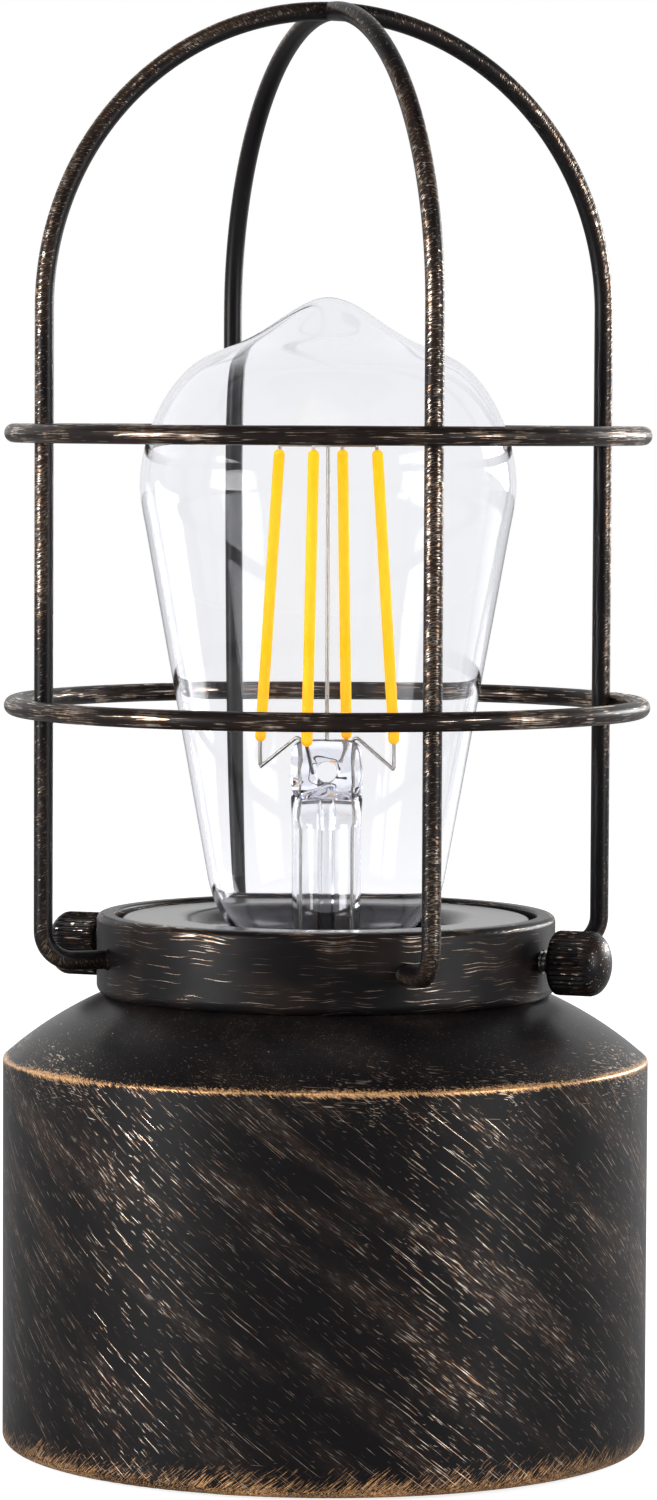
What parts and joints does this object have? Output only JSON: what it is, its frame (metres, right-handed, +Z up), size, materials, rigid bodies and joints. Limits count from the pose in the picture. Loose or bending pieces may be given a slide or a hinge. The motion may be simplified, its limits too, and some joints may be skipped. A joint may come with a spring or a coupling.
{
  "type": "touch lamp",
  "caption": "Table lamp with a round metal touch base, a wire cage held by thumb screws and a clear filament bulb in a screw lampholder.",
  "frame": {"origin": "centre of the foot pad's underside, on the table", "axes": "+Z up along the lamp's axis, X along the two thumb screws, +Y towards the cord inlet at the rear"},
  "size_m": [0.11, 0.11, 0.2457],
  "materials": {
    "bronze_paint": "dark brown-black paint, hand-brushed with copper",
    "cup_paint": "satin charcoal paint",
    "zinc_steel": "zinc-plated steel",
    "black_rubber": "matt",
    "phenolic": "moulded phenolic",
    "brass": "rolled brass",
    "foam_tape": "foam",
    "case_plastic": "moulded",
    "circuit_board": "solder mask",
    "device_black": "moulded",
    "wire_coat": "vinyl",
    "clear_glass": "clear",
    "cap_nickel": "rolled and plated",
    "cap_glass": "black glass",
    "phosphor": "phosphor in silicone",
    "nickel_wire": "drawn wire"
  },
  "bodies": {
    "base": {"base_shell": "bronze_paint", "plate_lugs": "zinc_steel", "plate_screws": "zinc_steel", "bottom_plate": "zinc_steel", "foot_pad": "black_rubber", "cord_grommet": "black_rubber", "neck_cup": "cup_paint", "lampholder_body": "phenolic", "lampholder_sleeve": "brass", "lampholder_tongue": "brass", "nipple": "zinc_steel", "nipple_washer": "zinc_steel", "nipple_nut": "zinc_steel", "sense_lug": "brass", "touch_tape": "foam_tape", "touch_case": "case_plastic", "touch_lid": "case_plastic", "touch_board": "circuit_board", "board_devices": "device_black", "lamp_leads": "wire_coat", "sense_lead": "wire_coat"},
    "cage": {"cage_collar": "bronze_paint", "main_hoop": "bronze_paint", "front_half_hoop": "bronze_paint", "rear_half_hoop": "bronze_paint", "lower_ring": "bronze_paint", "upper_ring": "bronze_paint"},
    "right_stud": {"right_screw_stud": "zinc_steel"},
    "right_knob": {"right_thumb_knob": "bronze_paint"},
    "left_stud": {"left_screw_stud": "zinc_steel"},
    "left_knob": {"left_thumb_knob": "bronze_paint"},
    "bulb_end": {"bulb_contact": "cap_nickel"},
    "bulb": {"bulb_glass": "clear_glass", "bulb_cap": "cap_nickel", "bulb_insulator": "cap_glass", "driver_board": "circuit_board", "bulb_stem": "clear_glass", "exhaust_tube": "clear_glass", "bulb_leads": "nickel_wire", "bulb_filaments": "phosphor", "filament_tabs": "nickel_wire", "support_rod": "nickel_wire"}
  },
  "joints": [
    {"name": "cage_lift", "type": "slide", "parent": "base", "child": "cage", "axis": [0, 0, 1], "range_m": [0, 0.14]},
    {"name": "right_screw_travel", "type": "slide", "parent": "cage", "child": "right_stud", "axis": [1, 0, 0], "range_m": [0, 0.0028]},
    {"name": "right_screw_turn", "type": "hinge", "parent": "right_stud", "child": "right_knob", "pos_m": [0.045, 0, 0.0843], "axis": [1, 0, 0], "range_deg": [0, 1441]},
    {"name": "left_screw_travel", "type": "slide", "parent": "cage", "child": "left_stud", "axis": [-1, 0, 0], "range_m": [0, 0.0028]},
    {"name": "left_screw_turn", "type": "hinge", "parent": "left_stud", "child": "left_knob", "pos_m": [-0.045, 0, 0.0843], "axis": [-1, 0, 0], "range_deg": [0, 1441]},
    {"name": "bulb_travel", "type": "slide", "parent": "base", "child": "bulb_end", "axis": [0, 0, 1], "range_m": [0, 0.01819]},
    {"name": "bulb_turn", "type": "hinge", "parent": "bulb_end", "child": "bulb", "pos_m": [0, 0, 0.055], "axis": [0, 0, 1], "range_deg": [0, 1800]}
  ],
  "couplings": [
    {"joint": "right_screw_turn", "follows": "right_screw_travel", "rad_per_m": 8976},
    {"joint": "left_screw_turn", "follows": "left_screw_travel", "rad_per_m": 8976},
    {"joint": "bulb_travel", "follows": "bulb_turn", "m_per_rad": 0.00057751}
  ]
}
